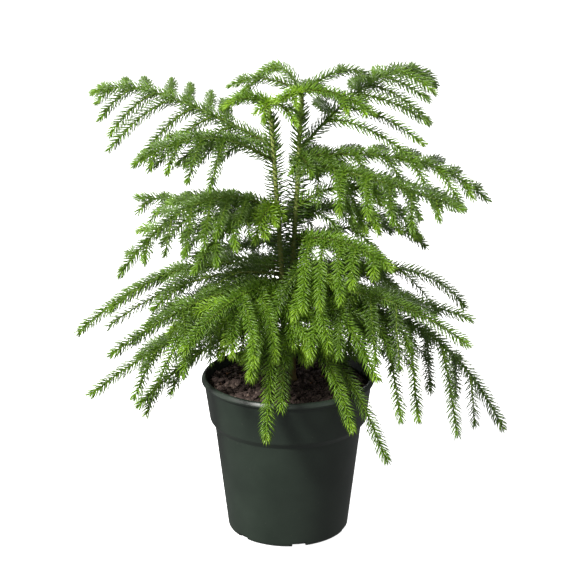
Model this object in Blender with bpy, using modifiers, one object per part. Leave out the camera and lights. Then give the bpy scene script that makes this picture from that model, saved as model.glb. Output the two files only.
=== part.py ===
"""A two-stemmed Norfolk Island pine in a plain six-inch nursery pot.

Metres, +Z up.  The origin is the centre of the pot's flat underside, and -Y is the front.
The pot, the soil, the two stems, the longest boughs and every spray of foliage are separate solids.
"""
import math
import random

import bmesh
import bpy
from mathutils import Matrix, Vector
from mathutils.bvhtree import BVHTree

MM = 0.001
CLEARANCE = 0.3 * MM              # gap between solids that rest on or meet each other
SEED = 1217

# ---- pot: radius and height pairs, in millimetres, of a six-inch nursery pot ----
POT_LIP = [(75.9, 147.0), (78.0, 143.4), (77.9, 141.8), (75.4, 140.0)]  # stands proud of the band
POT_BAND_BOTTOM = (70.6, 106.4)
POT_BODY_TOP = (66.3, 101.0)
POT_BODY_BOTTOM = (55.1, 6.0)
POT_FOOT = [(54.2, 2.2), (50.6, 0.0)]
POT_WALL = 1.6
POT_FLOOR = 7.0
POT_RIM_SLOPE = 1.0               # how far the wall's inner edge lies under the lip's top
POT_SIDES = 40
NOTCH_COUNT = 6
NOTCH_FIRST_AZIMUTH = 281.0
NOTCH_SIZE = (30.0, 13.0, 4.0)    # in, across and up; half of the first lies inside the foot

# ---- soil ----
SOIL_TOP = 135.0
SOIL_FLAT_RADIUS = 24.0           # level patch that the stems stand on
SOIL_ROUGHNESS = 1.8
SOIL_SMOOTH_EDGE = 0.1            # share of the radius that stays level at the wall

# ---- stems: height, x offsets and the depth y, in millimetres ----
STEMS = {
    "left": {"y": 3.0, "centre": [(135, -5.5), (190, -3.5), (225, -4.5), (290, -8.5),
                                  (342, -12.0), (373, -14.0), (389, -16.5)]},
    "right": {"y": 9.0, "centre": [(135, 4.5), (185, 3.5), (225, 3.5), (265, 5.0),
                                   (330, 9.0), (365, 10.0), (397, 12.0)]},
}
STEM_FLARE_RADIUS = 4.2
STEM_FLARE_HEIGHT = 10.0
STEM_BASE_RADIUS = 2.9
STEM_TOP_RADIUS = 1.7
STEM_STEPS = 12
STEM_NEEDLES = 26                 # a few of the needles that clothe each stem
STEM_NEEDLE_LENGTH = 9.5
STEM_NEEDLE_RADIUS = 0.6
STEM_NEEDLE_ANGLE = 70.0          # from the stem
STEM_NEEDLES_FROM = 45.0          # bare below this height above the soil
GOLDEN_ANGLE = 137.5

# ---- boughs, whorl by whorl from the top.  A row is a bough's root above the whorl's height, its
# azimuth in degrees from +X, then its reach, lift and arch, in millimetres.  A bough ends its lift
# above or below where it starts, and arches between.  Neighbours keep apart in azimuth or height.
WHORLS = [
    ("right", 346, [(4, 30, 142, 44, 16), (-6, 70, 130, -62, 24), (-1, 350, 165, -31, 10),
                    (-6, 320, 175, -12, 4), (-1, 285, 42, -6, 4)]),
    ("right", 298, [(0, 342, 113, -17, 32), (-5, 40, 108, -24, 10), (0, 88, 130, -75, 20)]),
    ("right", 266, [(0, 22, 130, -17, 10), (3, 318, 112, -3, 11), (-5, 65, 150, -62, 24)]),
    ("right", 224, [(12, 290, 92, -39, 30), (4, 15, 164, -34, 14), (-1, 350, 160, -18, 9),
                    (-6, 323, 185, -8, 20), (-1, 52, 165, -40, 25), (3, 92, 160, -45, 30)]),
    ("right", 196, [(12, 304, 128, -30, 30), (-4, 352, 191, -90, 40), (4, 30, 164, -54, 15),
                    (-4, 72, 160, -75, 40)]),
    ("right", 180, [(1, 312, 122, -84, 30), (6, 300, 104, -61, 26), (-4, 265, 106, -26, 30)]),
    ("left", 352, [(4, 165, 165, 38, 6), (-10, 200, 126, 8, 22), (-4, 130, 120, -30, 20)]),
    ("left", 298, [(3, 166, 129, 1, 0), (-2, 205, 148, -37, 36), (-2, 135, 122, -45, 10),
                   (2, 250, 46, -12, 12), (-12, 228, 106, -20, 23)]),
    ("left", 262, [(8, 120, 130, -46, 4), (-12, 142, 87, -13, 3)]),
    ("left", 239, [(4, 172, 186, -66, 29), (0, 200, 159, -29, 18), (-5, 218, 181, -30, 13)]),
    ("left", 226, [(2, 236, 146, -18, 17), (-4, 254, 100, -45, 28)]),
    ("left", 204, [(7, 262, 103, -87, 40), (2, 195, 175, -63, 17), (-3, 215, 151, -52, 14),
                   (-3, 150, 165, -55, 25), (2, 110, 160, -60, 30)]),
    ("left", 185, [(0, 248, 70, -20, 12)]),
]
# the young boughs at each stem's tip grow from one short leader, so they are one mass
TIP_WHORLS = [
    ("right", [(130, 56, 8, 16), (175, 63, 6, 10), (15, 62, 8, 8), (245, 45, 2, 2), (70, 45, -8, 6),
               (335, 68, -14, 7)]),
    ("left", [(150, 48, -10, 12), (205, 40, 2, 6), (262, 30, -10, 6), (308, 40, -14, 6)]),
]
# tips that bend over: how far, in millimetres, such a bough stands up before its end
NODS = {"right_2a": 30.0, "right_2c": 18.0, "left_2a": 20.0, "right_top2": 10.0, "right_6b": 28.0,
        "right_5b": 26.0, "right_4a": 16.0}
LEADER_LENGTH = 9.0
LEADER_RADII = (2.6, 1.4)
LEADER_SIDES = 8
LEADER_INSET = 0.8                # young boughs start this far off the leader's centre line
LEADER_PLACES = (0.35, 0.80)      # where along the leader the first leaves, and the last would
YOUNG_CORE = (1.2, 0.8)
YOUNG_TOOTH = 13.0                # short teeth, because a young bough curves tightly
# the longest boughs have a limb of their own
MAIN_BOUGHS = ("left_5a", "left_5c", "left_7b", "right_2c", "right_2d", "right_5b", "right_5d",
               "right_6b")
LIMB_SHARE = 0.2                  # of the bough's reach
LIMB_RADII = (2.0, 1.5)
LIMB_STEPS = 4

# ---- needle-clad shoots ----
AXIS_CORE = (1.6, 0.9)            # core radius at the root and the tip
AXIS_NEEDLES = (6.0, 4.2)         # how far the needle tips stand off the centre line
AXIS_TOOTH = 24.0                 # length of shoot for each ring of teeth
TWIG_CORE = (1.1, 0.6)
TWIG_NEEDLES = (5.6, 3.6)
TWIG_TOOTH = 21.0
TWIG_PITCH = 23.0                 # along the bough, twigs on alternate sides
TWIG_ANGLE = 52.0                 # from the bough
TWIG_TAPER = 0.74                 # twig length as a share of what is left of its bough
TWIG_EXTRA = 9.0
TWIG_LONGEST = 92.0
TWIG_SHORTEST = 20.0
TWIG_AHEAD = 0.15                 # how far a twig's tip bends forward along its bough
TWIG_INWARD = 0.18                # and in towards it, as shares of the twig's length
TWIG_TRIMS = (1.0, 0.75, 0.5)     # lengths that are tried where a twig has little room
TWIG_PLACES = (0.2, 0.9)          # where along the bough the twigs start and end
DROOP_HEIGHTS = (190.0, 340.0)    # a twig's tip sags less with height,
DROOPS = (0.60, 0.42)             # by these shares of its length
TIP_RADIUS = 0.35
AXIS_ROOM = 0.4                   # margins kept free round a bough's shoot and round a twig
TWIG_ROOM = 0.5
HEADING_STEP = 0.02               # share of a shoot's length over which its heading is read
FLARE_AT = 0.9                    # places of the teeth's tips and roots within one tooth length
ROOT_AT = 0.76
CROWDING = 0.13                   # growth of the teeth per millimetre of distance from the stem

COLOURS = {
    "pot": ((0.036, 0.043, 0.036), 0.45),
    "soil": ((0.040, 0.026, 0.020), 0.95),
    "stem": ((0.140, 0.180, 0.060), 0.70),
    "foliage": ((0.110, 0.210, 0.022), 0.60),
}


def clear_scene():
    for thing in list(bpy.data.objects):
        bpy.data.objects.remove(thing, do_unlink=True)


def material(name, kind):
    colour, roughness = COLOURS[kind]
    made = bpy.data.materials.new(name)
    made.use_nodes = True
    shader = made.node_tree.nodes["Principled BSDF"]
    shader.inputs["Base Color"].default_value = (*colour, 1.0)
    shader.inputs["Roughness"].default_value = roughness
    shader.inputs["Metallic"].default_value = 0.0
    return made


def add_object(name, mesh, kind, group):
    made = bpy.data.objects.new(name, mesh)
    made.data.materials.append(material(name, kind))
    group.objects.link(made)
    return made


def new_group(name):
    group = bpy.data.collections.new(name)
    bpy.context.scene.collection.children.link(group)
    return group


def mesh_from(bm, name):
    mesh = bpy.data.meshes.new(name)
    bm.to_mesh(mesh)
    bm.free()
    return mesh


def applied(thing):
    """Replace an object's mesh by what its modifiers make of it."""
    bpy.context.view_layer.update()
    mesh = bpy.data.meshes.new_from_object(thing.evaluated_get(bpy.context.evaluated_depsgraph_get()))
    thing.modifiers.clear()
    thing.data = mesh


# ---------------------------------------------------------------- pot and soil
def pot_inner_radius(height):
    """Inner radius of the pot, in millimetres, at a height above its underside."""
    band_top = POT_LIP[-1]
    outside = [POT_BODY_BOTTOM, POT_BODY_TOP, POT_BAND_BOTTOM, band_top, (band_top[0], POT_LIP[0][1])]
    return between([(high, radius) for radius, high in outside], height) - POT_WALL


def make_pot(group, cutters):
    inner_edge = POT_LIP[0][1] - POT_RIM_SLOPE
    levels = (POT_FLOOR, POT_BODY_TOP[1], POT_BAND_BOTTOM[1], POT_LIP[-1][1], inner_edge)
    inside = [(0.0, POT_FLOOR)] + [(pot_inner_radius(height), height) for height in levels]
    outside = POT_LIP + [POT_BAND_BOTTOM, POT_BODY_TOP, POT_BODY_BOTTOM] + POT_FOOT + [(0.0, 0.0)]
    bm = bmesh.new()
    verts = [bm.verts.new((radius * MM, 0.0, height * MM)) for radius, height in inside + outside]
    for start, end in zip(verts, verts[1:]):
        bm.edges.new((start, end))
    pot = add_object("pot", mesh_from(bm, "pot"), "pot", group)
    turn = pot.modifiers.new("turn", "SCREW")
    turn.steps = turn.render_steps = POT_SIDES
    turn.use_merge_vertices = True
    turn.merge_threshold = 0.00001
    turn.use_smooth_shade = False

    deep, across, tall = (size * MM for size in NOTCH_SIZE)
    for index in range(NOTCH_COUNT):
        bm = bmesh.new()
        bmesh.ops.create_cube(bm, size=1.0, matrix=Matrix.Diagonal((deep, across, 2.0 * tall, 1.0)))
        notch = add_object(f"notch_{index + 1}", mesh_from(bm, "notch"), "pot", cutters)
        turn_by = math.radians(NOTCH_FIRST_AZIMUTH + index * 360.0 / NOTCH_COUNT)
        notch.rotation_euler.z = turn_by
        notch.location = Vector((math.cos(turn_by), math.sin(turn_by), 0.0)) * POT_BODY_BOTTOM[0] * MM
        notch.hide_render = True
        notch.display_type = "WIRE"
    cut = pot.modifiers.new("notches", "BOOLEAN")
    cut.operation = "DIFFERENCE"
    cut.operand_type = "COLLECTION"
    cut.collection = cutters
    cut.solver = "EXACT"
    return pot


def make_soil(group, chance):
    """A plug that fills the pot, with an uneven top round a level middle."""
    floor = POT_FLOOR + CLEARANCE / MM
    bm = bmesh.new()
    levels = (floor, POT_BODY_TOP[1], POT_BAND_BOTTOM[1], SOIL_TOP)
    rings = []
    for height in levels:
        radius = (pot_inner_radius(height) - 2.0 * CLEARANCE / MM) * MM
        lift = Matrix.Translation((0.0, 0.0, height * MM))
        made = bmesh.ops.create_circle(bm, segments=POT_SIDES, radius=radius, matrix=lift)
        rings.append(ring_edges(made["verts"]))
    for low, high in zip(rings, rings[1:]):
        bmesh.ops.bridge_loops(bm, edges=low + high)
    bmesh.ops.contextual_create(bm, geom=rings[0])
    top = bmesh.ops.contextual_create(bm, geom=rings[-1])["faces"]
    outer_radius = pot_inner_radius(SOIL_TOP)
    for radius in ((outer_radius + SOIL_FLAT_RADIUS) / 2.0, SOIL_FLAT_RADIUS):
        bmesh.ops.inset_region(bm, faces=top, thickness=(outer_radius - radius) * MM, use_even_offset=True)
        outer_radius = radius
    middle = set(top[0].verts)
    rough_radius = (1.0 - SOIL_SMOOTH_EDGE) * pot_inner_radius(SOIL_TOP) * MM
    for vert in bm.verts:
        on_top = abs(vert.co.z - SOIL_TOP * MM) < CLEARANCE
        if on_top and vert.co.xy.length < rough_radius and vert not in middle:
            vert.co.z += chance.uniform(-1.0, 1.0) * SOIL_ROUGHNESS * MM
    bmesh.ops.recalc_face_normals(bm, faces=bm.faces)
    return add_object("soil", mesh_from(bm, "soil"), "soil", group)


def ring_edges(verts):
    """The edges that join a ring's own vertices."""
    own = set(verts)
    found = {edge for vert in verts for edge in vert.link_edges if set(edge.verts) <= own}
    return sorted(found, key=lambda edge: edge.index)


# ---------------------------------------------------------------- stems and limbs
def between(pairs, value):
    """Read a value off a list of (place, value) pairs by straight lines."""
    for (low, start), (high, end) in zip(pairs, pairs[1:]):
        if value <= high:
            return start + (end - start) * (value - low) / (high - low)
    return pairs[-1][1]


def stem_point(stem, height):
    """Centre of a stem, in metres, at a height in millimetres."""
    plan = STEMS[stem]
    return Vector((between(plan["centre"], height), plan["y"], height)) * MM


def stem_radius(stem, height):
    top = STEMS[stem]["centre"][-1][0]
    share = (height - SOIL_TOP) / (top - SOIL_TOP)
    flare = max(0.0, 1.0 - (height - SOIL_TOP) / STEM_FLARE_HEIGHT) ** 2
    straight = STEM_BASE_RADIUS + share * (STEM_TOP_RADIUS - STEM_BASE_RADIUS)
    return straight + flare * (STEM_FLARE_RADIUS - STEM_BASE_RADIUS)


def make_limb(name, points, radii, group):
    """A tapering round limb: a poly curve with a radius at each point, turned to a closed mesh."""
    curve = bpy.data.curves.new(name, "CURVE")
    curve.dimensions = "3D"
    curve.bevel_depth = MM
    curve.bevel_resolution = 1
    curve.use_fill_caps = True
    spline = curve.splines.new("POLY")
    spline.points.add(len(points) - 1)
    for control, point, radius in zip(spline.points, points, radii):
        control.co = (*point, 1.0)
        control.radius = radius
    rod = bpy.data.objects.new(name, curve)
    group.objects.link(rod)
    bpy.context.view_layer.update()
    mesh = bpy.data.meshes.new_from_object(rod.evaluated_get(bpy.context.evaluated_depsgraph_get()))
    bpy.data.objects.remove(rod, do_unlink=True)
    bm = bmesh.new()
    bm.from_mesh(mesh)
    bmesh.ops.remove_doubles(bm, verts=bm.verts, dist=0.00001)
    bmesh.ops.recalc_face_normals(bm, faces=bm.faces)
    bm.to_mesh(mesh)
    bm.free()
    mesh.materials.clear()
    return add_object(name, mesh, "stem", group)


def make_stem(stem, group):
    bottom = SOIL_TOP + CLEARANCE / MM
    top = STEMS[stem]["centre"][-1][0]
    foot = stem_point(stem, SOIL_TOP)
    heights = [bottom, bottom + 3.0, bottom + STEM_FLARE_HEIGHT]
    first = heights[-1]
    heights += [first + (top - first) * step / STEM_STEPS for step in range(1, STEM_STEPS + 1)]
    points = [stem_point(stem, height) for height in heights]
    for point in points[:2]:
        point.x = foot.x
    radii = [stem_radius(stem, height) for height in heights]
    return make_limb(f"stem_{stem}", points, radii, group)


# ---------------------------------------------------------------- boughs and shoots
class Bough:
    """One bough: a named arc that leaves a stem, and how far along it its foliage starts."""

    def __init__(self, name, stem, root, height, azimuth, reach, lift, arch):
        self.name = name
        self.height = height
        self.root = root
        self.reach = reach * MM
        self.lift = lift * MM
        self.arch = arch * MM
        self.nod = NODS.get(name, 0.0) * MM
        turn = math.radians(azimuth)
        self.away = Vector((math.cos(turn), math.sin(turn), 0.0))
        steepness = abs(self.tangent(HEADING_STEP).z)
        clear_of_stem = (stem_radius(stem, height) + AXIS_CORE[0] * steepness) * MM + CLEARANCE
        self.start = clear_of_stem / self.reach

    def point(self, share):
        rise = self.lift * share + 4.0 * self.arch * share * (1.0 - share)
        rise += self.nod * (share - share ** 6)
        return self.root + self.away * (self.reach * share) + Vector((0.0, 0.0, rise))

    def tangent(self, share):
        return (self.point(share + 0.01) - self.point(share - 0.01)).normalized()


def twig_path(bough, share, side, length, chance):
    """The arc of one twig: forward and outward from the bough, turning along it and drooping."""
    root = bough.point(share)
    along = bough.tangent(share)
    across = Vector((0.0, 0.0, 1.0)).cross(along).normalized() * side
    angle = math.radians(TWIG_ANGLE + chance.uniform(-5.0, 5.0))
    low, high = DROOP_HEIGHTS
    height = min(1.0, max(0.0, (bough.height - low) / (high - low)))
    droop = DROOPS[0] + height * (DROOPS[1] - DROOPS[0]) + chance.uniform(-0.06, 0.06)

    def point(part):
        forward = along * (math.cos(angle) * part + TWIG_AHEAD * part ** 2)
        outward = across * (math.sin(angle) * part - TWIG_INWARD * part ** 2)
        sag = Vector((0.0, 0.0, -droop * part ** 2))
        return root + (forward + outward + sag) * length

    return point


def toothed_shoot(path, core, needles, length, tooth, grow=0.0, past_stem=1.0):
    """A needle-clad shoot as a three-sided core whose rings flare into forward-pointing teeth.

    Teeth within a few centimetres of the stem are kept short, where a whorl's boughs crowd.
    """
    count = max(2, round(length / (tooth * MM)))
    rings = [(0.0, core[0])]
    for index in range(count):
        last = index == count - 1
        flare = (index + (ROOT_AT if last else FLARE_AT)) / count
        reach = needles[0] + (needles[1] - needles[0]) * flare
        room = core[0] + CROWDING * (past_stem + flare * length) / MM
        rings.append((flare, min(reach, room)))
        if not last:
            root = (index + ROOT_AT) / count
            rings.append((root, core[0] + (core[1] - core[0]) * root))
    rings.append((1.0, TIP_RADIUS))
    bm = bmesh.new()
    loops = []
    heading = (path(HEADING_STEP) - path(0.0)).normalized()
    facing = heading.to_track_quat("Z", "Y")
    for share, radius in rings:
        before, after = max(0.0, share - HEADING_STEP), min(1.0, share + HEADING_STEP)
        ahead = (path(after) - path(before)).normalized()
        facing = heading.rotation_difference(ahead) @ facing
        heading = ahead
        place = Matrix.Translation(path(share)) @ facing.to_matrix().to_4x4()
        made = bmesh.ops.create_circle(bm, segments=3, radius=(radius + grow) * MM, matrix=place)
        loops.append(ring_edges(made["verts"]))
    for near, far in zip(loops, loops[1:]):
        bmesh.ops.bridge_loops(bm, edges=near + far)
    for loop in (loops[0], loops[-1]):
        bmesh.ops.contextual_create(bm, geom=loop)
    bmesh.ops.recalc_face_normals(bm, faces=bm.faces)
    if bm.calc_volume(signed=True) < 0.0:
        bmesh.ops.reverse_faces(bm, faces=bm.faces)
    return bm


class Space:
    """What already stands in the crown, so that a twig that would touch it can be left out."""

    def __init__(self):
        self.taken = []

    def add(self, owner, bm):
        low = [min(vert.co[axis] for vert in bm.verts) for axis in range(3)]
        high = [max(vert.co[axis] for vert in bm.verts) for axis in range(3)]
        self.taken.append((owner, low, high, BVHTree.FromBMesh(bm)))

    def touched(self, owner, bm):
        low = [min(vert.co[axis] for vert in bm.verts) for axis in range(3)]
        high = [max(vert.co[axis] for vert in bm.verts) for axis in range(3)]
        tree = None
        for other, other_low, other_high, other_tree in self.taken:
            if other == owner:
                continue
            if any(low[axis] > other_high[axis] or high[axis] < other_low[axis] for axis in range(3)):
                continue
            tree = tree or BVHTree.FromBMesh(bm)
            if tree.overlap(other_tree):
                return other
        return None


def clothe_stem(stem, rod, space, chance):
    """Fuse a few needles to a stem, in a spiral, wherever nothing else is in the way."""
    low = SOIL_TOP + STEM_NEEDLES_FROM
    high = STEMS[stem]["centre"][-1][0] - STEM_NEEDLE_LENGTH
    needles = []
    for index in range(STEM_NEEDLES):
        height = low + (high - low) * (index + chance.uniform(0.2, 0.8)) / STEM_NEEDLES
        turn = math.radians(index * GOLDEN_ANGLE)
        lean = math.radians(STEM_NEEDLE_ANGLE)
        away = Vector((math.cos(turn), math.sin(turn), 0.0))
        heading = away * math.sin(lean) + Vector((0.0, 0.0, math.cos(lean)))
        length = (STEM_NEEDLE_LENGTH + stem_radius(stem, height)) * MM
        root = stem_point(stem, height)
        wide = stem_needle(root, heading, length + 2.0 * CLEARANCE, 2.0 * CLEARANCE)
        blocked = space.touched(rod.name, wide)
        wide.free()
        if not blocked:
            needle = stem_needle(root, heading, length)
            space.add(rod.name, needle)
            needles.append(needle)
    fuse(rod, needles)


def stem_needle(root, heading, length, grow=0.0):
    facing = heading.to_track_quat("Z", "Y").to_matrix().to_4x4()
    place = Matrix.Translation(root + heading * length / 2.0) @ facing
    needle = bmesh.new()
    bmesh.ops.create_cone(
        needle, cap_ends=True, segments=3, depth=length, radius1=STEM_NEEDLE_RADIUS * MM + grow,
        radius2=0.15 * STEM_NEEDLE_RADIUS * MM + grow, matrix=place)
    return needle


def plan_boughs():
    """Name every bough, whorl by whorl, and place its root on its stem."""
    boughs = []
    counts = {"left": 1, "right": 1}
    for stem, height, rows in WHORLS:
        counts[stem] += 1
        for letter, (rise, *shape) in zip("abcdefgh", rows):
            name = f"{stem}_{counts[stem]}{letter}"
            root_height = height + rise
            boughs.append(Bough(name, stem, stem_point(stem, root_height), root_height, *shape))
    return boughs


def axis_shoot(bough, start, grow=0.0, core=AXIS_CORE, tooth=AXIS_TOOTH):
    path = lambda part: bough.point(start + (1.0 - start) * part)
    length = bough.reach * (1.0 - start)
    return toothed_shoot(path, core, AXIS_NEEDLES, length, tooth, grow, start * bough.reach)


def fuse(whole, parts):
    """Join shoots or needles to a solid that they stand out of."""
    if not parts:
        return
    others = new_group(f"{whole.name}_shoots")
    for part in parts:
        others.objects.link(bpy.data.objects.new(f"{whole.name}_shoot", mesh_from(part, "shoot")))
    join = whole.modifiers.new("join", "BOOLEAN")
    join.operation = "UNION"
    join.operand_type = "COLLECTION"
    join.collection = others
    join.solver = "EXACT"
    applied(whole)
    drop_scraps(whole.data)
    for thing in list(others.objects):
        bpy.data.objects.remove(thing, do_unlink=True)
    bpy.data.collections.remove(others)


def drop_scraps(mesh):
    """Keep a mesh's largest connected shell: fusing can leave a sealed speck or a loose scrap."""
    bm = bmesh.new()
    bm.from_mesh(mesh)
    waiting = set(bm.verts)
    shells = []
    while waiting:
        shell = set()
        edge_of = [waiting.pop()]
        while edge_of:
            vert = edge_of.pop()
            shell.add(vert)
            fresh = [edge.other_vert(vert) for edge in vert.link_edges]
            fresh = [other for other in fresh if other in waiting]
            waiting.difference_update(fresh)
            edge_of.extend(fresh)
        shells.append(shell)
    largest = max(shells, key=len)
    bmesh.ops.delete(bm, geom=[vert for vert in bm.verts if vert not in largest], context="VERTS")
    bm.to_mesh(mesh)
    bm.free()


def grow_twigs(bough, owner, start, space, chance):
    """Twigs on alternate sides of a bough; one that touches another solid is shortened or left out."""
    twigs = []
    share = max(TWIG_PLACES[0], start + 0.04)
    side = chance.choice((-1, 1))
    step = TWIG_PITCH * MM / bough.reach
    while share < TWIG_PLACES[1]:
        full = min(TWIG_LONGEST, TWIG_TAPER * bough.reach / MM * (1.0 - share) + TWIG_EXTRA)
        state = chance.random()
        for trim in TWIG_TRIMS:
            length = full * trim
            if length < TWIG_SHORTEST:
                break
            path = twig_path(bough, share, side, length * MM, random.Random(state))
            wide = toothed_shoot(path, TWIG_CORE, TWIG_NEEDLES, length * MM, TWIG_TOOTH, TWIG_ROOM)
            blocked = space.touched(owner, wide)
            wide.free()
            if not blocked:
                twig = toothed_shoot(path, TWIG_CORE, TWIG_NEEDLES, length * MM, TWIG_TOOTH)
                space.add(owner, twig)
                twigs.append(twig)
                break
        share += step
        side = -side
    return twigs


def make_bough_limb(bough, group):
    """The bare first stretch of a long bough, up to where its foliage starts."""
    parts = [step / LIMB_STEPS for step in range(LIMB_STEPS + 1)]
    end = LIMB_SHARE - CLEARANCE / bough.reach
    points = [bough.point(bough.start + (end - bough.start) * part) for part in parts]
    radii = [LIMB_RADII[0] + (LIMB_RADII[1] - LIMB_RADII[0]) * part for part in parts]
    return make_limb(f"bough_{bough.name}", points, radii, group)


def make_foliage(group, space, chance):
    boughs = plan_boughs()
    axes = {}
    for bough in boughs:
        start = bough.start
        if bough.name in MAIN_BOUGHS:
            start = LIMB_SHARE
            space.add(bough.name, solid_bmesh(make_bough_limb(bough, group)))
        shoot = axis_shoot(bough, start)
        wide = axis_shoot(bough, start, AXIS_ROOM)
        other = space.touched(bough.name, wide)
        wide.free()
        if other:
            print("bough", bough.name, "meets", other)
        space.add(bough.name, shoot)
        axes[bough.name] = (start, shoot)
    tips = []
    for stem, rows in TIP_WHORLS:
        tips.append(make_tip(stem, rows, space))
    for bough in boughs:
        start, shoot = axes[bough.name]
        name = f"foliage_{bough.name}"
        twigs = grow_twigs(bough, bough.name, start, space, chance)
        fuse(add_object(name, mesh_from(shoot, name), "foliage", group), twigs)
    for name, parts, young in tips:
        for bough in young:
            parts += grow_twigs(bough, name, 0.0, space, chance)
        fuse(add_object(name, mesh_from(parts[0], name), "foliage", group), parts[1:])


def make_tip(stem, rows, space):
    """The leader above a stem's top and the young boughs that leave it."""
    name = f"foliage_{stem}_top"
    top = STEMS[stem]["centre"][-1][0]
    foot = stem_point(stem, top) + Vector((0.0, 0.0, CLEARANCE))
    rise = Vector((0.0, 0.0, LEADER_LENGTH * MM))
    leader = bmesh.new()
    bmesh.ops.create_cone(
        leader, cap_ends=True, segments=LEADER_SIDES, depth=rise.z, radius1=LEADER_RADII[0] * MM,
        radius2=LEADER_RADII[1] * MM, matrix=Matrix.Translation(foot + rise / 2.0))
    parts = [leader]
    young = []
    for index, row in enumerate(rows):
        low, high = LEADER_PLACES
        root = foot + rise * (low + (high - low) * index / len(rows))
        bough = Bough(f"{stem}_top{index}", stem, root, top, *row)
        inset = LEADER_INSET * MM / bough.reach
        shoot = axis_shoot(bough, inset, core=YOUNG_CORE, tooth=YOUNG_TOOTH)
        space.add(name, shoot)
        parts.append(shoot)
        young.append(bough)
    return name, parts, young


def solid_bmesh(thing):
    bm = bmesh.new()
    bpy.context.view_layer.update()
    bm.from_object(thing, bpy.context.evaluated_depsgraph_get())
    return bm


def main():
    clear_scene()
    chance = random.Random(SEED)
    group = new_group("norfolk_island_pine")
    cutters = new_group("cutters")
    space = Space()
    rods = {stem: make_stem(stem, group) for stem in STEMS}
    for thing in (make_pot(group, cutters), make_soil(group, chance), *rods.values()):
        space.add(thing.name, solid_bmesh(thing))
    make_foliage(group, space, chance)
    for stem, rod in rods.items():
        clothe_stem(stem, rod, space, chance)


main()
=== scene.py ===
# %% [markdown]
# This lesson dresses a young two-stemmed conifer that stands in a dark green nursery pot. The
# measured model is loaded first and never moves. Everything made here takes its place from it, and
# each finished piece hides the plain solid that it stands for.

# %% Load the measured model
import math
import random

import bmesh
import bpy
import numpy as np
from mathutils import Matrix, Vector, noise


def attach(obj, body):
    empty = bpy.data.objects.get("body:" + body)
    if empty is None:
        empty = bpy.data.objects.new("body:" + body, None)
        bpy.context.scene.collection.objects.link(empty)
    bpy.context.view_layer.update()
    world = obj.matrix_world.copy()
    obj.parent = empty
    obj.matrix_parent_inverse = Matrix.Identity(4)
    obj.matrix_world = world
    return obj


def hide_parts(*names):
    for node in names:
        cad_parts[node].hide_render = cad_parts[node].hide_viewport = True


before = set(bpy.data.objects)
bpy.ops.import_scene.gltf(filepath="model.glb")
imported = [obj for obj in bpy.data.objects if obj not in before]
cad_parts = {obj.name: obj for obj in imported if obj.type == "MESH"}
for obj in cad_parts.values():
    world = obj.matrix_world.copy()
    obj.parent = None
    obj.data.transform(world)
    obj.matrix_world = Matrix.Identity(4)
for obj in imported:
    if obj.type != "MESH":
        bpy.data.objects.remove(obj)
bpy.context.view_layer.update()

MM = 0.001
SEED = 1217
UP = np.array([0.0, 0.0, 1.0])

# %% [markdown]
# The plant is looked at from a little above, through a long lens that hardly distorts it. A camera
# could be aimed with a constraint, but a place and one angle are plainer and cannot slip.

# %% Camera
CAMERA_PLACE = (0.0, -1.6, 0.7374)
CAMERA_PITCH = math.radians(17.67)
CAMERA_LENS = 118.24              # focal length and sensor width, in millimetres
CAMERA_SENSOR = 36.0
CAMERA_NEAR = 0.05                # nothing closer than this is drawn, in metres
scene = bpy.context.scene
camera_data = bpy.data.cameras.new("plant_camera")
camera_data.lens = CAMERA_LENS
camera_data.sensor_width = CAMERA_SENSOR
camera_data.clip_start = CAMERA_NEAR
camera = bpy.data.objects.new("plant_camera", camera_data)
camera.location = CAMERA_PLACE
camera.rotation_euler = (math.pi / 2.0 - CAMERA_PITCH, 0.0, 0.0)
scene.collection.objects.link(camera)
scene.camera = camera
print("camera height in mm:", round(camera.location.z / MM, 1))

# %% [markdown]
# Needles are thin and dark, so a plant like this is shown in a bright, even studio: a white
# surround, a key lamp from the upper left that models the pot, and one behind the crown that lights
# its edges. Three broad and weak ones open the shadows on the right, in front and on the left. Area
# lamps are used because small lamps would put a hard sparkle on every needle.

# %% Studio
SURROUND_LIGHT = 0.20
CROWN_CENTRE = (0.0, 0.0, 0.25)
WHITE = (1.0, 1.0, 1.0)
LAMPS = [                         # name, place and width in metres, watts and colour
    ("key_lamp", (-1.3, -1.2, 1.6), 0.45, 92.0, (1.0, 0.98, 0.94)),
    ("fill_lamp", (1.6, -0.9, 0.9), 1.2, 3.5, (0.94, 0.97, 1.0)),
    ("front_lamp", (-0.8, -1.9, 1.3), 1.4, 7.0, WHITE),
    ("side_lamp", (-1.9, 0.1, 0.5), 1.2, 7.0, WHITE),
    ("back_lamp", (0.6, 1.8, 1.6), 1.2, 26.0, WHITE),
]
scene.view_settings.view_transform = "Standard"
surround = bpy.data.worlds.new("white_surround")
surround.use_nodes = True
background = surround.node_tree.nodes["Background"]
background.inputs["Color"].default_value = (*WHITE, 1.0)
background.inputs["Strength"].default_value = SURROUND_LIGHT
scene.world = surround
for name, place, width, watts, colour in LAMPS:
    data = bpy.data.lights.new(name, "AREA")
    data.shape = "DISK"
    data.size = width
    data.energy = watts
    data.color = colour
    lamp = bpy.data.objects.new(name, data)
    lamp.location = place
    aim = Vector(CROWN_CENTRE) - Vector(place)
    lamp.rotation_euler = aim.to_track_quat("-Z", "Y").to_euler()
    scene.collection.objects.link(lamp)
print("lamps:", len(LAMPS))

# %% [markdown]
# A finish is a Principled shader. A plain number sits on the shader's own socket, and only what
# really varies, such as a mottled colour or a grain, comes through nodes. The patterns read Object
# coordinates, which are metres here because every piece sits unturned at the origin. So a grain's
# scale says about how many of its lumps go to a metre.

# %% Helper for finishes
GRAIN_ROUGHNESS = 0.55            # how strong a grain's finest layer is


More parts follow.
